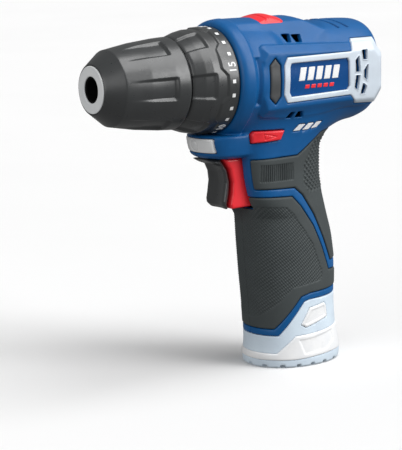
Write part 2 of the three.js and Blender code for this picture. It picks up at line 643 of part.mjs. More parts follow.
// Side profile of the trigger: the red carrier ends where the black finger pad begins.
const TRIGGER_LINE = [[44.6, 118], [40.4, 112], [38.8, 105], [39.4, 98.4], [40.6, 93], [39.8, 90.7]];
const TRIGGER_FRONT = [
  [41.4, 90.4], [43.8, 92.6], [44.2, 95], [43.4, 99.4], [42.6, 105], [43.2, 110], [45.2, 114.2], [49.2, 115.6],
  [52.8, 117.6], [52.4, 118.3],
];
add("trigger", join(
  plate([[27, 118], ...TRIGGER_LINE, [27, 91]].map(([x, z]) => [x, z]), -TRIGGER_HALF, TRIGGER_HALF),
  alongX(12, 27.5, 2.2, 14),
), red);
add("trigger_pad", plate(
  [...TRIGGER_LINE.map(([x, z]) => [x + GAP, z]), ...TRIGGER_FRONT], -TRIGGER_HALF + 0.5, TRIGGER_HALF - 0.5,
), blackPlastic);
add("trigger_spring", helix(9.8, 26, 4, 3.2, 0.45, 4, 9).translate([0, 0, PLUNGER_Z]), steel);

add("direction_selector", join(
  box(DIRECTION.x0, DIRECTION.x1, -DIRECTION.reach, DIRECTION.reach, DIRECTION.z0, DIRECTION.z1),
  box(13, 18, -3, 3, 128, 131), box(13, 15.4, -3, 3, 121.4, 130),
), red);

add("led_lens", cut(
  pod().intersect(box(51, 70, -12.2, 12.2, 122, 130)), box(46, 53.2, -8.6, 8.6, 123, 129),
), clear);
add("led_board", join(
  box(48.6, 50, -8, 8, 122.6, 128.6), alongX(49.8, 52.8, 2.4, 14).translate([0, 0, 125.8 - PLUNGER_Z]),
), board);

// ---- battery --------------------------------------------------------------------------------------------
const BAND = [[60, 8.6], [15.6, 8.2], [6.4, 17.6], [-6, 18.4], [-60, 22.6], [-60, 6.4], [-16, 5.8], [6, 4.4], [60, 4.4]];
const LATCH = [[3, 23.8], [-2.4, 32.6], [-13.2, 34.2], [-14.8, 32.4], [-15.4, 26], [0, 22]];

const latch = handle(-0.5).intersect(plate(LATCH, 20.2, 40));
const shell = cut(
  handle().intersect(belowSeam(-GAP)), cellHull(STEM.wall + GAP, 0, 90),
  plate(grown(BAND, GAP), -40, 40).subtract(handle(PAD + GAP)),
  plate(grown(LATCH, GAP), 10, 40), plate(grown(LATCH, GAP), -40, -10),
);
add("battery_shell", shell, paleBlue);
add("battery_band", handle().subtract(handle(PAD)).intersect(plate(BAND, -40, 40)), paleWhite);
add("battery_latch_left", latch, paleWhite);
add("battery_latch_right", mirrored(latch), paleWhite);
add("battery_stem", cellHull(STEM.wall, 0.4, STEM.length).subtract(cellHull(0.25, -1, STEM.length - 2)), blackPlastic);
CELL_SPOTS.forEach(([x, y], i) => {
  const can = new THREE.CylinderGeometry(CELL.r, CELL.r, CELL.length, 24);
  can.rotateX(Math.PI / 2).translate(x, y, CELL.lift + CELL.length / 2);
  const button = new THREE.CylinderGeometry(2.8, 2.8, 2, 12);
  button.rotateX(Math.PI / 2).translate(x, y, CELL.lift + CELL.length + 0.5);
  const cell = solid(can.applyMatrix4(batteryFrame)).add(solid(button.applyMatrix4(batteryFrame)));
  add(`battery_cell_${i + 1}`, cell, cellWrap);
});
add("terminal_block", box(-8, 13, -12, 12, 87, 91), nylon);

export default drill;
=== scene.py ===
"""Looks of a compact cordless drill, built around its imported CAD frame.

The outer skins are modelled as distance fields in millimetres (negative inside), meshed through OpenVDB
and set in the frame in metres. Turned parts are lathed from a profile, and small marks are cut to shape.
"""

import math

import bpy
import numpy as np
import openvdb
from mathutils import Matrix, Vector


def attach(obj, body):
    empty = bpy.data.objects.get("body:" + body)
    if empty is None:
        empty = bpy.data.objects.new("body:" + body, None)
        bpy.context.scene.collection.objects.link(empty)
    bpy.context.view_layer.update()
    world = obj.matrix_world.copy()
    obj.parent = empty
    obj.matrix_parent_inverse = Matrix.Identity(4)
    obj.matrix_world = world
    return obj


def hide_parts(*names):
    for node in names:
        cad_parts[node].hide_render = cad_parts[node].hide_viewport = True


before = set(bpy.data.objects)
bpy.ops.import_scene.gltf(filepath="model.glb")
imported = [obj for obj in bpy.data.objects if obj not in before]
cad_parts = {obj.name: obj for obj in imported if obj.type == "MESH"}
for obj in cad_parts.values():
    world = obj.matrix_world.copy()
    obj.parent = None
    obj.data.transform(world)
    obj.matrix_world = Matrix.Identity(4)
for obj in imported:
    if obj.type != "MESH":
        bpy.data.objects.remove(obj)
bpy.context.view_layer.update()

MM = 0.001
AXIS = 160.0  # height of the chuck's axis above the foot
SKIN_STEP = 0.45  # sample pitch of the housing
FINE_STEP = 0.3  # sample pitch of textured pads and small parts
TURNED_STEPS = 480  # steps around the collar and the sleeve
HALF_GAP = 0.06  # half of the parting line between the two housing halves
SHELL_MERGE, PANEL_MERGE = 0.012, 0.01  # how far OpenVDB may merge flat quads of big smooth pieces


# ---- distance fields ---------------------------------------------------------------------------------
class Grid:
    """Sample points of a box, kept as three broadcastable axes."""

    def __init__(self, lo, hi, step):
        self.lo, self.step = np.array(lo, float), step
        axes = [np.arange(a, b + step, step, dtype=np.float32) for a, b in zip(lo, hi)]
        self.x, self.y, self.z = np.ix_(*axes)
        self.shape = tuple(len(a) for a in axes)
        self.w = self.z - AXIS


def smax(a, b, round_off):
    """Intersection of two fields with a rounded edge."""
    overlap = np.maximum(round_off - np.abs(a - b), 0) / round_off
    return np.maximum(a, b) + overlap * overlap * round_off * 0.25


def smin(a, b, fillet):
    """Union of two fields with a filleted joint."""
    return -smax(-a, -b, fillet)


def polygon(u, v, points):
    """Signed distance in the plane of u and v to a closed outline."""
    near = np.full(np.broadcast(u, v).shape, 1e9, np.float32)
    inside = np.zeros(near.shape, bool)
    for (x0, y0), (x1, y1) in zip(points, points[1:] + points[:1]):
        ex, ey = x1 - x0, y1 - y0
        along = np.clip(((u - x0) * ex + (v - y0) * ey) / (ex * ex + ey * ey), 0, 1)
        near = np.minimum(near, (u - x0 - along * ex) ** 2 + (v - y0 - along * ey) ** 2)
        if y0 != y1:
            inside ^= ((y0 <= v) != (y1 <= v)) & (u < x0 + (v - y0) * ex / ey)
    return np.where(inside, -1, 1) * np.sqrt(near)


def curve(at, knots, values):
    """Monotone cubic through the knots, so a loft has no creases at its stations."""
    knots, values = np.array(knots, float), np.array(values, float)
    if knots[0] > knots[-1]:
        knots, values = knots[::-1], values[::-1]
    gap, rise = np.diff(knots), np.diff(values)
    slope = rise / gap
    same_way = slope[:-1] * slope[1:] > 0
    safe = np.where(same_way, slope[:-1] + slope[1:], 1)
    middle = np.where(same_way, 2 * slope[:-1] * slope[1:] / safe, 0)
    tangent = np.concatenate([slope[:1], middle, slope[-1:]])
    at = np.clip(at, knots[0], knots[-1])
    k = np.clip(np.searchsorted(knots, at, side="right") - 1, 0, len(gap) - 1)
    t, h = (at - knots[k]) / gap[k], gap[k]
    rise_part = values[k] * (1 + 2 * t) * (1 - t) ** 2 + values[k + 1] * t * t * (3 - 2 * t)
    bend_part = tangent[k] * h * t * (1 - t) ** 2 - tangent[k + 1] * h * t * t * (1 - t)
    return (rise_part + bend_part).astype(np.float32)


def lofted(stations):
    """Turns a table of stations into one smooth curve for each of its columns."""
    columns = list(zip(*stations))
    return [lambda at, c=c: curve(at, columns[0], c) for c in columns[1:]]


def level(field, step):
    """Rescales a field to true distance near its surface."""
    slopes = np.gradient(field, step)
    size = np.sqrt(sum(s * s for s in slopes))
    return field / np.maximum(size, 0.25)


def sunk(body, outline, depth, run=0.0, edge=0.3):
    """Cuts a pocket of that depth whose walls run outwards by run for each unit of height."""
    wall = (outline - run * body) / math.hypot(1, run)
    return smax(body, -smax(-(body + depth), wall, edge), edge)


def skin(body, outline, proud, thick, edge):
    """A panel that follows the body's surface inside an outline, with rounded outer edges."""
    outer = smax(body - proud, outline, edge)
    return np.maximum(outer, -(body - proud + thick))


# ---- form of the tool, in millimetres ----------------------------------------------------------------
# Barrel stations: x, half width, height above and below the axis, squareness.
BARREL = [
    (46.3, 28.9, 28.9, 28.9, 2), (45.2, 30.2, 30.4, 30.2, 2), (43, 31.1, 31.5, 31.1, 2),
    (38.9, 31.4, 31.9, 31.4, 2), (38.1, 30.9, 31.4, 30.9, 2), (37.2, 29.7, 29.9, 29.7, 2),
    (30, 29.4, 29.6, 29.4, 2), (-20, 28.8, 28.5, 28.8, 2.1), (-38, 28.3, 28.2, 28.2, 2.2),
    (-46, 26.8, 27.8, 26, 2.3), (-50.5, 23, 26, 22, 2.4), (-53.2, 18.5, 23.4, 17.5, 2.4),
    (-55.4, 12, 18, 11, 2.3),
]
# Handle stations: height, back, front, half width.
HANDLE = [
    (-1, -32, 21.4, 21.6), (1.3, -33.6, 22.6, 22.8), (5, -34, 22.8, 23), (12, -32.8, 22, 22.7),
    (20, -31.2, 22.2, 22.2), (37, -30.4, 23.5, 21.9), (52, -30.6, 24.9, 22.3), (68, -28.8, 26.1, 22.3),
    (86, -24.3, 27.4, 21.4), (96, -22, 30.6, 21), (107, -20.5, 33.2, 20.9), (120, -20.7, 34.8, 21.4),
    (128, -25.5, 36.8, 22.2), (134, -34, 40, 23.1), (140, -41, 43, 24),
]
# How square the handle's front is, by height; its back stays this round all the way.
HANDLE_ROUND = 2.15
HANDLE_SQUARE = [(84, HANDLE_ROUND), (97, 4), (118, 4), (136, 2.5)]
# Light pod stations: height, front, half width.
POD = [(118.8, 54, 14.5), (121, 56.4, 16.5), (130, 58.4, 17.6), (131.3, 57.6, 17.2)]
POD_CENTRE = 40.0
POD_N = 2.1  # squareness of its nose seen from above
WALL = 2.8
VENT_GROWTH = 0.3  # how much wider than its outline a vent is cut
SEAM_GAP = 0.15  # from the line between housing and battery to either of them
SIDE_FACE = 28.9  # the flat side face stands this far from the middle

DECK_EDGE, DECK_LOW_EDGE = (13.0, 187.9), (17.0, 182.6)  # the deck's slanted side, seen from the front
DECK_TAIL = [(-3.0, 191.8), (-12.0, 187.4)]  # and its slope down to the rear, seen from the side
SHOULDER = [(17.5, 194), (18.5, 168), (-12.5, 168), (-12.5, 174.4), (-20, 184.2), (-26, 194)]
BOSS = [
    (31.2, 151), (31.2, 170.5), (28.6, 174.6), (-26, 172.8), (-42, 172.8), (-46.5, 168), (-46.5, 152),
    (-42, 146), (-26, 146), (28.6, 144.6),
]
TRIM = [
    (18.5, 167.3), (16.4, 171.6), (-26.6, 172.2), (-30.8, 178.6), (-46.4, 178.6), (-50, 170), (-47.6, 165.4),
    (-47.6, 154.6), (-50, 149.6), (-46, 143.2), (-30.6, 143.8), (-26, 148.9), (16.5, 147.6), (18.8, 152),
]
WINDOW = [
    (14, 168.4), (-23.8, 168.9), (-25, 167), (-25.2, 153.8), (-23.6, 151.8), (14, 150.6), (15.3, 153),
    (14.8, 166.4),
]
INSERT = [(24.2, 171.6), (20.9, 167.8), (20.9, 151.4), (24.2, 147.6), (27.6, 151), (27.6, 168)]
TOP_VENTS = [
    [(11.4, 182.5), (6.6, 182.3), (7.6, 178.9), (9.8, 179)],
    [(5.2, 182.2), (-0.2, 182), (0.6, 178.6), (4, 178.8)],
]
LOW_VENTS = [
    [(14.4, 139.2), (12.4, 141.9), (10, 141.9), (11.2, 139.2)],
    [(8.9, 139.2), (7.6, 141.9), (4.9, 141.9), (4, 139.2)],
]
SIDE_VENTS = [
    [(-31.3, 169.3), (-29.2, 167.2), (-29.4, 161.2), (-32.2, 161.1)],
    [(-31.9, 158.8), (-29.5, 158.9), (-28.6, 153), (-30.6, 151.3)],
    [(-33.7, 172.2), (-36.8, 172.5), (-36.9, 167.6), (-34.6, 167.6)],
    [(-37.4, 164.4), (-35, 161.5), (-35, 158.1), (-37, 156.2)],
    [(-34.4, 154.4), (-36.7, 152.6), (-35.2, 149), (-32.8, 149.1)],
]
FRONT_PAD = [
    (60, 89.4), (36, 94.2), (31, 96.4), (8.2, 95.6), (2.9, 90.2), (-5.5, 78.4), (-11.6, 65.8), (-17.4, 52),
    (-40, 50), (-40, 42.4), (-3.4, 41.2), (2.9, 39.6), (16.4, 22), (60, 22),
]
REAR_PAD = [
    (33, 117), (4.6, 117.8), (-13.6, 128.7), (-40, 131), (-40, 57), (-19.6, 57), (-12.8, 71.6), (-6.8, 84.2),
    (1.1, 95.9), (6.4, 100.4), (31.8, 101),
]
# Everything below the line where the housing ends and the battery's base begins.
BELOW_SEAM = [(60, 18), (14.5, 18), (1, 36.4), (-3, 37.4), (-60, 38.6), (-60, -20), (60, -20)]
DIRECTION = [(32.2, 133), (14.6, 132.8), (17, 127.3), (32.8, 126.2), (33.6, 131.2)]
DIRECTION_ARROW = [(20, 129.6), (27, 131.2), (26.5, 128.2)]
TRIGGER_ROOM = [(19, 89.6), (48, 89.6), (60, 118.8), (19, 118.8)]
TRIGGER_LINE = [(44.6, 118), (40.4, 112), (38.8, 105), (39.4, 98.4), (40.6, 93), (39.8, 90.7)]
TRIGGER_FRONT = [
    (41.4, 90.4), (43.8, 92.6), (44.2, 95), (43.4, 99.4), (42.6, 105), (43.2, 110), (45.2, 114.2),
    (49.2, 115.6), (52.8, 117.6), (52.4, 118.3),
]
# The thumb pad stops here, so that the housing shows beside the trigger: x, and distance from the middle.
PAD_STOP_X, PAD_STOP_Y = 26, 15.6
LIGHT_BARS = [
    [(8.5, 131.4), (4.7, 134.7), (0.7, 134.7), (4.3, 131.4)],
    [(2.4, 131.5), (-1.4, 134.9), (-5.2, 134.9), (-1.8, 131.6)],
    [(-3.6, 131.8), (-7.3, 135.1), (-11.2, 135.2), (-7.7, 132.1)],
]
GRIP_FIELD = [
    (60, 90), (33.3, 91.8), (12.1, 90.4), (7.3, 86), (-4.7, 68.8), (-11.9, 50.9), (-10.7, 47.1), (7.7, 44.6),
    (22.4, 27.9), (60, 27.9),
]
MARK_LEAN = 0.22  # of the marks on the badge plate
NUB_FIELD = [(-8.6, 126.2), (0.6, 112.4), (0.6, 102), (-3.6, 96.6), (-40, 96.6), (-40, 127)]
BAND = [
    (60, 8.6), (15.6, 8.2), (6.4, 17.6), (-6, 18.4), (-60, 22.6), (-60, 6.4), (-16, 5.8), (6, 4.4),
    (60, 4.4),
]
LATCH = [(3, 23.8), (-2.4, 32.6), (-13.2, 34.2), (-14.8, 32.4), (-15.4, 26), (0, 22)]
BAND_PANEL = [(4.8, 15.4), (-3.9, 16), (-18.7, 18.1), (-20.1, 12.3), (-13.7, 8.1), (1.5, 7)]

# Turned parts: closed outlines of (x, radius). The core is the chuck behind its pale nose disc, painted near
# black as painted shade in the bore.
SLEEVE = [
    (73.8, 19.2), (73.8, 23.7), (74.5, 24.3), (82, 23.9), (96, 22.4), (110.4, 19.9), (111.6, 19.0),
    (119.2, 13.3), (119.6, 12.9), (119.6, 12.7), (114, 12.7), (110, 17.8), (104, 17.8), (98, 19.2),
]
COLLAR = [
    (46.6, 22.6), (46.6, 27.9), (47.1, 28.3), (53.5, 28.3), (57, 28.2), (61.5, 28.1), (66, 27.2),
    (71.5, 25.3), (72.6, 24.6), (73, 23.8), (73, 14), (64, 14), (64, 19), (62, 22.6),
]
CORE = [
    (73.8, 6.4), (73.8, 17.2), (87.7, 17.2), (87.7, 15), (94.3, 15), (94.3, 17.2), (104, 16.4), (113, 12.3),
    (119.2, 12.3), (119.2, 5.9), (112, 5.6), (86.5, 5.6), (85.5, 6.4),
]
NOSE = [(119.2, 6.9), (119.2, 12.3), (119.7, 12.3), (120, 12), (120, 7.3), (119.7, 6.9)]
FLUTE_CENTRE = -1.0  # degrees from +Y towards +Z of the first of six flutes
FIFTEEN_AT = 18.2  # degrees at which the collar's 15 stands
SETTING_STEP = 15.0  # degrees from one setting to the next
MARK_X, MARK_R, MARK_HALF = 50.4, 28.3, 0.95  # where the marks stand, and half the side of a square

barrel_side, barrel_up, barrel_down, barrel_n = lofted(BARREL)
handle_back, handle_front, handle_half = lofted(HANDLE)
pod_front, pod_half = lofted(POD)
(handle_square,) = lofted(HANDLE_SQUARE)


def barrel(g):
    side, n = barrel_side(g.x), barrel_n(g.x)
    height = np.where(g.w > 0, barrel_up(g.x), barrel_down(g.x))
    ratio = (np.abs(g.y) / side) ** n + (np.abs(g.w) / height) ** n
    hull = (ratio ** (1 / n) - 1) * np.sqrt(side * height)
    return smax(smax(hull, g.x - 46.2, 0.6), -55.8 - g.x, 4)


def handle(g):
    back, front, half = handle_back(g.z), handle_front(g.z), handle_half(g.z)
    centre, reach = (back + front) / 2, (front - back) / 2
    n = np.where(g.x > centre, handle_square(g.z), HANDLE_ROUND)
    ratio = (np.abs(g.x - centre) / reach) ** n + (np.abs(g.y) / half) ** n
    return (ratio ** (1 / n) - 1) * np.sqrt(reach * half)


def pod(g):
    half, front = pod_half(g.z), pod_front(g.z)
    nose = np.maximum(g.x - POD_CENTRE, 0) / (front - POD_CENTRE)
    ratio = nose**POD_N + (np.abs(g.y) / half) ** POD_N
    plan = (ratio ** (1 / POD_N) - 1) * half
    plan = smax(plan, 22 - g.x, 2)
    return smax(smax(plan, 118.6 - g.z, 1.5), g.z - 131.4, 1.2)


def plane(u, v, a, b):
    """Distance beyond the line from a to b in the plane of u and v, positive on its left."""
    du, dv = b[0] - a[0], b[1] - a[1]
    return ((v - a[1]) * du - (u - a[0]) * dv) / math.hypot(du, dv)


def deck(g):
    side = -plane(np.abs(g.y), g.z, DECK_LOW_EDGE, DECK_EDGE)
    tail = plane(g.x, g.z, DECK_TAIL[1], DECK_TAIL[0])
    crown = np.sqrt(g.y**2 + g.w**2) - 31.7
    top = smax(smax(crown, side, 0.8), tail, 1.2)
    return np.maximum(np.maximum(top, g.x - 39), 175 - g.z)


def boss(g):
    face = np.abs(g.y) - SIDE_FACE + 0.0012 * g.w**2
    outline = polygon(g.x, g.z, BOSS)
    bevel = np.maximum((outline + face) / math.sqrt(2), outline - 4)
    return smax(face, bevel, 0.7)


def body_form(g):
    """The whole outer form before it is split into panels."""
    shell = barrel(g)
    shoulder = polygon(g.x, g.z, SHOULDER)
    shell = smax(shell, -smax(-(shell + 1.7), (shoulder - 3.0 * shell) / 3.16, 0.3), 0.3)
    moat = np.maximum(np.abs(g.x - 34.6) - 2.2, np.abs(g.w) - 13)
    shell = smax(shell, -smax(-(shell + 1.6), (moat - 1.2 * shell) / 1.56, 0.4), 0.35)
    shell = smin(shell, boss(g), 0.5)
    shell = smin(shell, deck(g), 0.5)
    grip = smax(handle(g), g.z - 146, 3)
    form = smin(shell, grip, 7)
    return smin(form, pod(g), 1.6)


def slots(g):
    """Two slanted grooves over the rear of the barrel."""
    across = np.abs(g.y)
    lanes = [np.abs(g.x - start + 0.42 * (across - 6)) - 0.75 for start in (-24.0, -30.2)]
    return np.maximum(np.maximum(np.minimum(*lanes), across - 15.5), 175 - g.z)


def openings(g):
    """Everything that is cut right through the housing wall."""
    holes = [polygon(g.x, g.z, hole) for hole in TOP_VENTS + LOW_VENTS + SIDE_VENTS + LIGHT_BARS]
    vents = np.maximum(np.minimum.reduce(holes) - VENT_GROWTH, 12 - np.abs(g.y))
    trigger = smax(polygon(g.x, g.z, TRIGGER_ROOM), np.abs(g.y) - 10.4, 1.5)
    button = polygon(g.x, g.z, DIRECTION) - 0.2
    slide = np.maximum(np.maximum(np.abs(g.x - 11.4) - 5.6, np.abs(g.y) - 4.6), 180 - g.z)
    nose = np.maximum(np.sqrt(g.y**2 + g.w**2) - 24.8, 40 - g.x)
    lamp = np.maximum(np.maximum(50 - g.x, np.abs(g.z - 126) - 4.1), np.abs(g.y) - 12.3)
    cuts = (vents, trigger, button, slide, nose, lamp)
    return np.minimum.reduce([np.broadcast_to(cut, g.shape) for cut in cuts])


# ---- from fields to meshes ---------------------------------------------------------------------------
def as_mesh(name, points, faces):
    mesh = bpy.data.meshes.new(name)
    mesh.from_pydata(np.asarray(points).tolist(), [], [list(f) for f in faces])
    mesh.validate()
    mesh.shade_smooth()
    made = bpy.data.objects.new(name, mesh)
    bpy.context.scene.collection.objects.link(made)
    return made


def meshed(name, g, field, adaptivity=0.0, mirror=False):
    """The zero surface of a field as a Blender object."""
    volume = openvdb.FloatGrid(background=3.0)
    dense = np.broadcast_to(field, g.shape).astype(np.float32)
    volume.copyFromArray(np.ascontiguousarray(np.clip(dense, -3, 3)))
    points, triangles, quads = volume.convertToPolygons(isovalue=0.0, adaptivity=adaptivity)
    points = (points * g.step + g.lo) * MM
    if mirror:
        points[:, 1] *= -1
    else:
        triangles, quads = triangles[:, ::-1], quads[:, ::-1]
    return as_mesh(name, points, triangles.tolist() + quads.tolist())


# ---- materials ---------------------------------------------------------------------------------------
def new_material(name):
    made = bpy.data.materials.new(name)
    made.use_nodes = True
    nodes, links = made.node_tree.nodes, made.node_tree.links
    return made, nodes, links, nodes["Principled BSDF"]


def noise(nodes, links, scale, detail=3.0, roughness=0.5):
    where = nodes.new("ShaderNodeTexCoord")
    made = nodes.new("ShaderNodeTexNoise")
    made.inputs["Scale"].default_value = scale
    made.inputs["Detail"].default_value = detail
    made.inputs["Roughness"].default_value = roughness
    links.new(where.outputs["Object"], made.inputs["Vector"])
    return made.outputs["Fac"]


def spread(nodes, links, factor, low, high):
    """Maps a noise value from its usual range to low..high."""
    made = nodes.new("ShaderNodeMapRange")
    made.inputs["From Min"].default_value = 0.3
    made.inputs["From Max"].default_value = 0.7
    made.inputs["To Min"].default_value = low
    made.inputs["To Max"].default_value = high
    links.new(factor, made.inputs["Value"])
    return made.outputs["Result"]


def tinted(nodes, links, factor, dark, light):
    made = nodes.new("ShaderNodeValToRGB")
    made.color_ramp.elements[0].position = 0.3
    made.color_ramp.elements[1].position = 0.7
    made.color_ramp.elements[0].color = (*dark, 1)
    made.color_ramp.elements[1].color = (*light, 1)
    links.new(factor, made.inputs["Fac"])
    return made.outputs["Color"]


def linear(r, g, b):
    """sRGB 0-255 to linear."""
    return tuple((c / 255 / 12.92) if c < 10.3 else ((c / 255 + 0.055) / 1.055) ** 2.4 for c in (r, g, b))


def moulded(name, colour, rough, grain=0.25, grain_size=0.35, drift=0.06, coat=0.0, metal=0.0, specular=0.5):
    """Moulded plastic or metal: drifting tone, uneven gloss and a fine spark-eroded grain."""
    made, nodes, links, shader = new_material(name)
    base = linear(*colour)
    dark = tuple(c * (1 - drift) for c in base)
    light = tuple(min(1, c * (1 + drift) + drift * 0.01) for c in base)
    links.new(tinted(nodes, links, noise(nodes, links, 90, 4), dark, light), shader.inputs["Base Color"])
    sheen = noise(nodes, links, 260, 5, 0.6)
    links.new(spread(nodes, links, sheen, rough - 0.04, rough + 0.05), shader.inputs["Roughness"])
    bump = nodes.new("ShaderNodeBump")
    bump.inputs["Strength"].default_value = grain
    bump.inputs["Distance"].default_value = 0.00003
    links.new(noise(nodes, links, 1000 / grain_size, 2), bump.inputs["Height"])
    links.new(bump.outputs["Normal"], shader.inputs["Normal"])
    shader.inputs["Metallic"].default_value = metal
    shader.inputs["Coat Weight"].default_value = coat
    shader.inputs["Coat Roughness"].default_value = 0.18
    shader.inputs["Specular IOR Level"].default_value = specular
    return made


MATERIALS = {
    "blue": moulded("housing_blue", (10, 90, 152), 0.4, grain=0.3, specular=0.34),
    "badge": moulded("badge_blue", (12, 76, 140), 0.24, grain=0.1, specular=0.3),
    "silver": moulded("trim_silver", (218, 229, 240), 0.36, grain=0.25, metal=0.05),
    "black": moulded("satin_black", (56, 58, 59), 0.3, grain=0.3, specular=0.75),
    "rubber": moulded("grip_rubber", (69, 75, 76), 0.62, grain=0.6, grain_size=0.25, specular=0.35),
    "soft": moulded("soft_charcoal", (72, 74, 75), 0.45, grain=0.4),
    "red": moulded("signal_red", (252, 48, 58), 0.33, grain=0.15),
    "pale_blue": moulded("battery_pale_blue", (222, 237, 251), 0.4, grain=0.25),
    "pale": moulded("battery_pale", (248, 250, 253), 0.4, grain=0.25),
    "white": moulded("print_white", (252, 253, 253), 0.5, grain=0.1, drift=0.01),
    "nose": moulded("nose_plate", (247, 250, 252), 0.4, grain=0.2),
    "dark_steel": moulded("dark_steel", (70, 72, 75), 0.35, metal=0.9, grain=0.4),
    "steel": moulded("bright_steel", (190, 192, 194), 0.28, metal=1.0, grain=0.3),
    "copper": moulded("winding_copper", (176, 100, 60), 0.38, metal=0.9, grain=0.8),
    "nylon": moulded("grey_nylon", (150, 150, 146), 0.5, grain=0.3),
    "board": moulded("circuit_board", (30, 96, 58), 0.45, grain=0.5),
    "wrap": moulded("cell_wrap", (58, 130, 120), 0.35, grain=0.2),
    "lens": moulded("lens_clear", (250, 252, 253), 0.12, grain=0.05, coat=0.8),
    # Near black that stands for painted shade in the chuck's bore, not the part's own colour.
    "shadow": moulded("shadow_black", (10, 10, 11), 0.7, grain=0.3, specular=0.1),
}


# Material of the CAD nodes that stay as they are, by the start of their names.
CAD_FINISH = {
    "dark_steel": ("housing_screw", "ring_gear", "carrier", "chuck_jaw", "chuck_nut", "motor_can"),
    "steel": ("motor_shaft", "planet", "spindle", "clutch_spring", "trigger_spring"),
    "nylon": ("gearbox_case", "motor_endbell", "switch_body", "terminal_block"),
    "copper": ("rotor",),
    "board": ("led_board",),
    "black": ("battery_stem",),
    "wrap": ("battery_cell",),
}


def finish_cad_nodes():
    """Gives the inner parts that stay as CAD nodes their surface finish."""
    for name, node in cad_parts.items():
        for material, starts in CAD_FINISH.items():
            if name.startswith(starts):
                for place in node.material_slots:
                    place.material = MATERIALS[material]


def finish_piece(piece, material, body, *nodes):
    """Gives a piece its material, its CAD body and the CAD nodes it stands for."""
    piece.data.materials.clear()
    piece.data.materials.append(MATERIALS[material])
    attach(piece, body)
    if nodes:
        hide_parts(*nodes)
    return piece


# ---- housing -----------------------------------------------------------------------------------------
def both_sides(name, g, field, material, node=None, adaptivity=0.0):
    """Meshes a left-hand piece of the tool and its mirror image; node is the CAD name without its side."""
    for side, mirror in (("left", False), ("right", True)):
        piece = meshed(f"{name}_{side}", g, field, adaptivity, mirror)
        finish_piece(piece, material, "tool", *([f"{node}_{side}"] if node else []))


def build_housing(g, form):
    below_seam = polygon(g.x, g.z, BELOW_SEAM)
    trim, window, insert = (polygon(g.x, g.z, outline) for outline in (TRIM, WINDOW, INSERT))
    beside_trigger = np.maximum(PAD_STOP_X - g.x, g.y - PAD_STOP_Y)
    thumb_pad = np.maximum(polygon(g.x, g.z, REAR_PAD), -beside_trigger)
    pads = np.minimum(polygon(g.x, g.z, FRONT_PAD), thumb_pad)
    outer = smax(form, -np.maximum(slots(g), -(form + 1.3)), 0.4)
    frame_pocket = np.maximum(trim - 0.2, -window + 0.2)
    for recess, depth in ((frame_pocket, 1.5), (window - 0.1, 1.4), (insert - 0.5, 1.7)):
        outer = sunk(outer, np.maximum(recess, 8 - g.y), depth, edge=0.3)
    outer = sunk(outer, pads - 0.35, 1.7, edge=0.5)
    shell = np.maximum(outer, -(form + WALL))
    shell = smax(shell, SEAM_GAP - below_seam, 0.5)
    shell = smax(shell, -openings(g), 0.4)
    shell = smax(shell, HALF_GAP - g.y, 0.3)
    both_sides("shell", g, shell, "blue", "housing", SHELL_MERGE)


def build_side_panels():
    """Silver frame, dark insert and the plain blue plate in the frame's window."""
    g = Grid((-58, 14, 141), (34, 33, 181), FINE_STEP)
    form = level(body_form(g), g.step)
    trim, window, insert = (polygon(g.x, g.z, outline) for outline in (TRIM, WINDOW, INSERT))
    holes = np.minimum.reduce([polygon(g.x, g.z, hole) for hole in SIDE_VENTS])
    frame_top = smax(form - 0.42, trim, 0.55)
    frame_top = np.minimum(frame_top, smax(form - 0.8, holes - 0.7, 0.3))
    frame_top = smax(frame_top, -window, 0.35)
    frame_top = smax(frame_top, VENT_GROWTH - holes, 0.25)
    side_frame = np.maximum(frame_top, -(form + 1.3))
    both_sides("side_frame", g, side_frame, "silver", "side_trim", PANEL_MERGE)

    plate = skin(form, window + 0.05, -0.7, 1.2, 0.2)
    both_sides("badge_plate", g, plate, "badge")
    cushion = smax(form - 0.1 + 0.1 * np.maximum(insert + 1.6, 0), insert + 0.1, 0.8)
    both_sides("side_bumper", g, np.maximum(cushion, -(form + 1.5)), "soft", "bumper_insert")
    return g, form


def build_badge_marks(g, form):
    """Two plain rows of slanted marks on the badge plate."""
    white = [slanted(-17.5 + 5.6 * k, 4.1, 158.6, 165.8) for k in range(5)]
    red = [slanted(-14.5 + 4.1 * k, 2.9, 154.3, 156.4) for k in range(5)]
    for name, material, marks in (("badge_stripes", "white", white), ("badge_dashes", "red", red)):
        flat = np.minimum.reduce([polygon(g.x, g.z, outline) for outline in marks])
        both_sides(name, g, skin(form, flat, -0.45, 0.5, 0.1), material)


def slanted(x, width, low, high):
    """A parallelogram whose upper end leans backwards."""
    shift = MARK_LEAN * (high - low)
    return [(x + width, low), (x + width - shift, high), (x - shift, high), (x, low)]


def build_light_bars():
    g = Grid((-16, 15, 129), (12, 31, 137.5), FINE_STEP * 0.8)
    form = level(body_form(g), g.step)
    flat = np.minimum.reduce([polygon(g.x, g.z, bar) for bar in LIGHT_BARS])
    both_sides("light_bars", g, skin(form, flat, 0.12, 0.9, 0.15), "pale")


# ---- rubber grips ------------------------------------------------------------------------------------
def round_the_grip(g):
    """Arc length around the handle, so that a texture keeps its scale where the skin turns."""
    centre = (handle_back(g.z) + handle_front(g.z)) / 2
    return np.arctan2(g.y, g.x - centre) * 23


def dots(u, v, pitch):
    return np.cos(2 * np.pi * u / pitch) * np.cos(2 * np.pi * v / pitch)


def ramp(field, width):
    """1 inside an outline, easing to 0 over the width at its edge."""
    return np.clip(-field / width, 0, 1)


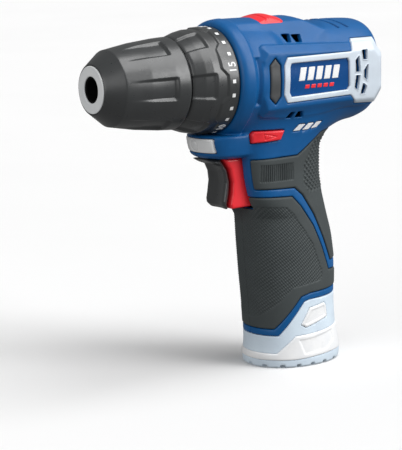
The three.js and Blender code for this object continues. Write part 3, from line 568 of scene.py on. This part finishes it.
def build_front_grip():
    g = Grid((-32, -0.9, 20), (49, 24.5, 98.5), FINE_STEP)
    form = level(body_form(g), g.step)
    outline = np.broadcast_to(polygon(g.x, g.z, FRONT_PAD), (g.shape[0], 1, g.shape[2]))
    field = polygon(g.x, g.z, GRIP_FIELD)
    texture = ramp(field, 0.5) * (0.3 * dots(round_the_grip(g), g.z - 0.35 * g.x, 2.0) - 0.28)
    pad = smax(form - 0.35 - texture, outline, 1.1)
    pad = np.maximum(pad, -(form + 1.25))
    pad = smax(pad, -(smax(polygon(g.x, g.z, TRIGGER_ROOM) - 0.4, np.abs(g.y) - 11, 1)), 0.5)
    pad = smax(pad, HALF_GAP - g.y, 0.2)
    both_sides("palm_grip", g, pad, "rubber", "grip_front")


def build_rear_grip():
    g = Grid((-36, -0.9, 56), (35, 26, 132.5), FINE_STEP)
    form = level(body_form(g), g.step)
    outline = np.broadcast_to(polygon(g.x, g.z, REAR_PAD), (g.shape[0], 1, g.shape[2]))
    ribs = ramp(np.maximum(np.abs(g.x - 17.8) - 10.6, np.abs(g.z - 109.5) - 4.9), 0.5)
    relief = -0.6 * ribs * np.clip(0.4 + np.cos(2 * np.pi * g.x / 1.24), 0, 1)
    nubs = ramp(polygon(g.x, g.z, NUB_FIELD), 0.8)
    relief = relief + nubs * (0.85 * np.clip(dots(round_the_grip(g), g.z, 3.4), -0.2, 1) - 0.4)
    pad = smax(form - 0.35 - relief, outline, 1.1)
    pad = np.maximum(pad, -(form + 1.25))
    pad = smax(pad, -smax(PAD_STOP_X - g.x, g.y - PAD_STOP_Y, 0.6), 0.5)
    pad = smax(pad, HALF_GAP - g.y, 0.2)
    both_sides("thumb_grip", g, pad, "rubber", "grip_rear")


# ---- trigger, lamp, direction button and speed slider ------------------------------------------------
def whole(name, g, field, material, body, *nodes, adaptivity=0.0):
    return finish_piece(meshed(name, g, field, adaptivity), material, body, *nodes)


def build_trigger():
    g = Grid((24, -11.5, 88), (62, 11.5, 121), FINE_STEP)
    across = np.abs(g.y)
    carrier = polygon(g.x, g.z, TRIGGER_LINE + [(27, 91), (27, 118)])
    red = smax(carrier, across - 10, 1.6)
    whole("trigger_carrier", g, red, "red", "trigger", "trigger")
    pad_line = [(x + 0.35, z) for x, z in TRIGGER_LINE]  # clear of the carrier behind it
    finger = polygon(g.x - 0.02 * g.y**2 + 0.3, g.z, pad_line + TRIGGER_FRONT)
    saddle = 0.055 * np.maximum(0, 8.5 - across) * np.clip(1 - ((g.z - 103) / 11) ** 2, 0, 1)
    black = smax(finger + saddle, across - 9.5, 4.0)
    whole("finger_pad", g, black, "black", "trigger", "trigger_pad")


def build_lamp():
    g = Grid((46, -19, 119.5), (61, 19, 132), FINE_STEP)
    form = level(pod(g), g.step)
    outline = smax(np.abs(g.z - 126.0) - 3.9, np.abs(g.y) - 12.1, 1.2)
    from_bulb = np.sqrt(g.y**2 + (g.z - 126) ** 2)
    ring = 0.6 * np.exp(-(((from_bulb - 2.9) / 0.5) ** 2))
    lens = smax(form - 0.1 + ring, outline, 0.9)
    lens = np.maximum(np.maximum(lens, -(form + 1.4)), 50.3 - g.x)
    whole("lamp_lens", g, lens, "lens", "tool", "led_lens")


def build_direction_button():
    g = Grid((12, -27, 124), (37, 27, 136), FINE_STEP)
    proud = level(body_form(g), g.step) - 1.7
    outline = polygon(g.x, g.z, DIRECTION) + 0.25
    arrow = polygon(g.x, g.z, DIRECTION_ARROW)
    body = smax(outline, proud, 1.1)
    body = smax(body, -np.maximum(np.abs(arrow) - 0.16, -proud - 0.5), 0.2)
    whole("direction_button", g, body, "red", "direction_switch", "direction_selector")


def build_speed_slider():
    g = Grid((4, -15, 180), (25, 15, 194.5), FINE_STEP)
    reach = np.sqrt(g.y**2 + g.w**2)
    crown = reach - curve(g.x, [5.8, 9.5, 13.3, 16.8, 23], [31.7, 32.6, 33.35, 33.0, 31.4])
    plan = smax(np.abs(g.x - 14.4) - 8.5, np.abs(g.y) - 12.6, 3)
    cap = smax(smax(crown, plan, 0.8), 30.9 - reach, 0.3)
    side = -plane(np.abs(g.y), g.z, DECK_LOW_EDGE, DECK_EDGE) - 0.25
    ridge = np.maximum(np.abs(g.x - 17.2) - 0.28, 32.4 - reach)
    cap = smax(smax(cap, side, 0.8), -ridge, 0.5)
    stem = np.maximum(np.maximum(np.abs(g.x - 14.4) - 2.3, np.abs(g.y) - 4), np.abs(g.z - 188) - 4)
    whole("speed_slider", g, np.minimum(cap, stem), "red", "speed_shifter", "gear_selector")


# ---- chuck and torque collar -------------------------------------------------------------------------
def dense(profile, step):
    """A closed outline with extra points, so that a lathed relief has something to bend."""
    xs, rs = [], []
    for (x0, r0), (x1, r1) in zip(profile, profile[1:] + profile[:1]):
        n = max(1, math.ceil(math.hypot(x1 - x0, r1 - r0) / step))
        xs += [x0 + (x1 - x0) * k / n for k in range(n)]
        rs += [r0 + (r1 - r0) * k / n for k in range(n)]
    return np.array(xs), np.array(rs)


def turned(name, profile, relief, count, step, material, body, *nodes):
    """Lathes a closed outline about the chuck's axis; relief(x, r, degrees) lowers its outer skin."""
    xs, rs = dense(profile, step)
    angle = np.linspace(0, 2 * np.pi, count, endpoint=False)
    x, r = xs[:, None] + 0 * angle, rs[:, None] + 0 * angle
    r = r - relief(x, r, np.degrees(angle)[None, :] + 0 * x)
    points = np.stack([x, r * np.cos(angle), r * np.sin(angle) + AXIS], -1).reshape(-1, 3) * MM
    rows, faces = len(xs), []
    for i in range(rows):
        j = (i + 1) % rows
        ring = [(k, (k + 1) % count) for k in range(count)]
        faces += [(i * count + a, j * count + a, j * count + b, i * count + b) for a, b in ring]
    return finish_piece(as_mesh(name, points, faces), material, body, *nodes)


def lobe(degrees, centre, half, soft):
    """1 within half of each of six evenly spaced centres, easing to 0 over soft degrees."""
    off = np.abs((degrees - centre + 30) % 60 - 30)
    return np.clip((half - off) / soft + 0.5, 0, 1)


def ease(x, start, end):
    t = np.clip((x - start) / (end - start), 0, 1)
    return t * t * (3 - 2 * t)


def sleeve_relief(x, r, degrees):
    flute = lobe(degrees, FLUTE_CENTRE, 13.5, 3.0) * ease(x, 81.6, 82.8) * (1 - ease(x, 84, 110.5))
    return np.where((x > 75) & (r > 18.9), 1.5 * flute, 0)


def collar_relief(x, r, degrees):
    pad = lobe(degrees, FLUTE_CENTRE + 30, 16.5, 2.6)
    step_at = 53.6 + 3.4 * lobe(degrees, FLUTE_CENTRE + 30, 15, 8)
    band_step = 0.75 * ease(x, step_at - 0.25, step_at + 0.25)
    flute = 1.15 * (1 - pad) * ease(x, 59.5, 61.5)
    return np.where((r > 23.3) & (x > 46.6), band_step + flute, 0)


def no_relief(x, r, degrees):
    return 0 * x


def build_chuck():
    turned("sleeve_skin", SLEEVE, sleeve_relief, TURNED_STEPS, 0.7, "black", "sleeve", "chuck_sleeve")
    turned("collar_skin", COLLAR, collar_relief, TURNED_STEPS, 0.55, "black", "collar", "torque_collar")
    # The core gets painted shade: near black, so the bore behind the nose disc looks dark.
    turned("chuck_core", CORE, no_relief, 96, 0.8, "shadow", "output", "chuck_body")
    turned("nose_disc", NOSE, no_relief, 128, 0.3, "nose", "output")


def round_the_axis(reach, turn):
    return reach * math.cos(turn), AXIS + reach * math.sin(turn)


def curved_text(text, degrees, name):
    """A number laid on the collar's band, its foot towards the tool and reading round the axis."""
    letters = bpy.data.curves.new(name, "FONT")
    letters.body, letters.size, letters.extrude = text, 6.2, 0.12
    letters.align_x, letters.align_y = "CENTER", "CENTER"
    letters.offset = 0.05
    holder = bpy.data.objects.new(name + "_flat", letters)
    bpy.context.scene.collection.objects.link(holder)
    bpy.context.view_layer.update()
    flat = holder.evaluated_get(bpy.context.evaluated_depsgraph_get()).to_mesh()
    points = [v.co.copy() for v in flat.vertices]
    faces = [tuple(p.vertices) for p in flat.polygons]
    bpy.data.objects.remove(holder)
    start = math.radians(degrees)
    bent = []
    for p in points:
        turn, reach = start + p.x / MARK_R, MARK_R + p.z
        bent.append((MARK_X + p.y, *round_the_axis(reach, turn)))
    piece = as_mesh(name, np.array(bent) * MM, faces)
    piece.data.shade_flat()
    finish_piece(piece, "white", "collar")


def build_collar_marks():
    """Small squares for the settings in between, and a number at every fifth."""
    numbered = (1, 5, 10, 15, 20)
    corners = [(-1, -1), (1, -1), (1, 1), (-1, 1)]
    points, faces = [], []
    for setting in range(1, 22):
        degrees = FIFTEEN_AT + SETTING_STEP * (setting - 15)
        if setting in numbered:
            curved_text(str(setting), degrees, f"setting_{setting}")
            continue
        base = len(points)
        for lift in (0.12, -0.2):
            for u, v in corners:
                turn = math.radians(degrees) + v * MARK_HALF / MARK_R
                reach = MARK_R + lift
                points.append((MARK_X + u * MARK_HALF, *round_the_axis(reach, turn)))
        walls = [(a, a + 4, (a + 1) % 4 + 4, (a + 1) % 4) for a in range(4)]
        faces += [tuple(base + k for k in face) for face in [(0, 1, 2, 3), *walls, (7, 6, 5, 4)]]
    piece = as_mesh("setting_squares", np.array(points) * MM, faces)
    piece.data.shade_flat()
    finish_piece(piece, "white", "collar")


# ---- battery -----------------------------------------------------------------------------------------
def build_battery():
    g = Grid((-36, -25.5, -1.2), (25, 25.5, 39.5), FINE_STEP)
    across = np.abs(g.y)
    form = level(smax(handle(g), -g.z, 1.2), g.step)
    below_seam = polygon(g.x, g.z, BELOW_SEAM)
    band = polygon(g.x, g.z, BAND)
    latch = np.maximum(polygon(g.x, g.z, LATCH), 12 - across)
    panel = np.maximum(polygon(g.x, g.z, BAND_PANEL), 10 - across)
    cell_room = smax(np.abs(g.x + 5 + 0.096 * (20 - g.z)) - 13.5, across - 17.5, 12)

    around = np.arctan2(g.y, g.x + 5.5) * 24
    notch = smax(np.abs((around + 4.5) % 9 - 4.5) - 1.3, g.z - 1.7, 1)
    notch = np.maximum(notch, -(form + 3.2))
    shell = sunk(form, band - 0.1, 1.2, edge=0.25)
    shell = sunk(shell, latch - 0.25, 3.4, edge=0.3)
    shell = smax(shell, -notch, 0.7)
    shell = smax(np.maximum(shell, below_seam + SEAM_GAP), -np.maximum(cell_room, 2 - g.z), 0.4)
    whole("pack_shell", g, shell, "pale_blue", "battery", "battery_shell", adaptivity=PANEL_MERGE)

    cuff = skin(form, band, 0.45, 1.5, 0.9)
    cuff = sunk(cuff, panel, 0.35, run=0.8, edge=0.3)
    whole("pack_band", g, cuff, "pale", "battery", "battery_band", adaptivity=PANEL_MERGE)

    button = skin(form, latch, 0.5, 1.9, 0.9)
    button = sunk(button, polygon(g.x, g.z, LATCH) + 1.6, 0.25, run=0.6, edge=0.2)
    for side, other_half in (("left", -g.y), ("right", g.y)):
        body, node = f"latch_{side}", f"battery_latch_{side}"
        whole(f"pack_button_{side}", g, np.maximum(button, other_half), "pale", body, node)


# ---- studio ------------------------------------------------------------------------------------------
# Broad suns: name, the direction they shine from, apparent size in degrees, strength.
SUNS = [
    ("key", (-0.3, 0.32, 0.9), 50, 2.15),
    ("side", (-0.55, 0.74, 0.38), 34, 1.7),
    ("front", (0.9, 0.35, 0.3), 50, 0.95),
]


def studio():
    floor = bpy.data.meshes.new("floor")
    floor.from_pydata([(-30, -30, 0), (30, -30, 0), (30, 30, 0), (-30, 30, 0)], [], [(0, 1, 2, 3)])
    ground = bpy.data.objects.new("floor", floor)
    bpy.context.scene.collection.objects.link(ground)
    made, nodes, links, shader = new_material("floor_paper")
    paper = tinted(nodes, links, noise(nodes, links, 3), (0.88, 0.88, 0.88), (0.9, 0.9, 0.9))
    links.new(paper, shader.inputs["Base Color"])
    shader.inputs["Roughness"].default_value = 0.8
    shader.inputs["Specular IOR Level"].default_value = 0.1
    floor.materials.append(made)
    ground.visible_diffuse = ground.visible_glossy = False  # so the underside stays as dark as it should
    world = bpy.data.worlds.new("studio")
    bpy.context.scene.world = world
    world.use_nodes = True
    nodes, links = world.node_tree.nodes, world.node_tree.links
    nodes["Background"].inputs["Color"].default_value = (1, 1, 1, 1)
    seen = nodes.new("ShaderNodeMapRange")  # dim as a light, pale where the camera sees it
    seen.inputs["To Min"].default_value, seen.inputs["To Max"].default_value = 0.22, 0.95
    links.new(nodes.new("ShaderNodeLightPath").outputs["Is Camera Ray"], seen.inputs["Value"])
    links.new(seen.outputs["Result"], nodes["Background"].inputs["Strength"])
    for name, towards, angle, strength in SUNS:
        light = bpy.data.lights.new(name, "SUN")
        light.energy, light.angle = strength, math.radians(angle)
        lamp = bpy.data.objects.new(name, light)
        lamp.rotation_euler = Vector(towards).to_track_quat("Z", "Y").to_euler()
        bpy.context.scene.collection.objects.link(lamp)
    bpy.context.scene.view_settings.view_transform = "Standard"


BUILDERS = [
    build_front_grip, build_rear_grip, build_light_bars, build_trigger, build_lamp, build_direction_button,
    build_speed_slider, build_chuck, build_collar_marks, build_battery,
]


def camera():
    """A long lens from the left and slightly above, ahead of the tool."""
    lens = bpy.data.cameras.new("camera")
    lens.lens, lens.sensor_width, lens.sensor_fit = 144, 36, "AUTO"
    made = bpy.data.objects.new("camera", lens)
    right = Vector((-0.82723558, 0.56159605, -0.01706363))
    up = Vector((-0.11681006, -0.14219692, 0.98292189))
    back = Vector((0.54957866, 0.81510117, 0.18323042))
    place = Matrix((right, up, back)).transposed().to_4x4()
    place.translation = (0.58433, 0.78687, 0.25930)
    made.matrix_world = place
    lens.clip_start, lens.clip_end = 0.05, 20
    bpy.context.scene.collection.objects.link(made)
    bpy.context.scene.camera = made


def build_all():
    g = Grid((-61, -1.2, 12), (66, 33.5, 194.5), SKIN_STEP)
    build_housing(g, level(body_form(g), g.step))
    build_badge_marks(*build_side_panels())
    for build in BUILDERS:
        build()
    finish_cad_nodes()


build_all()
studio()
camera()
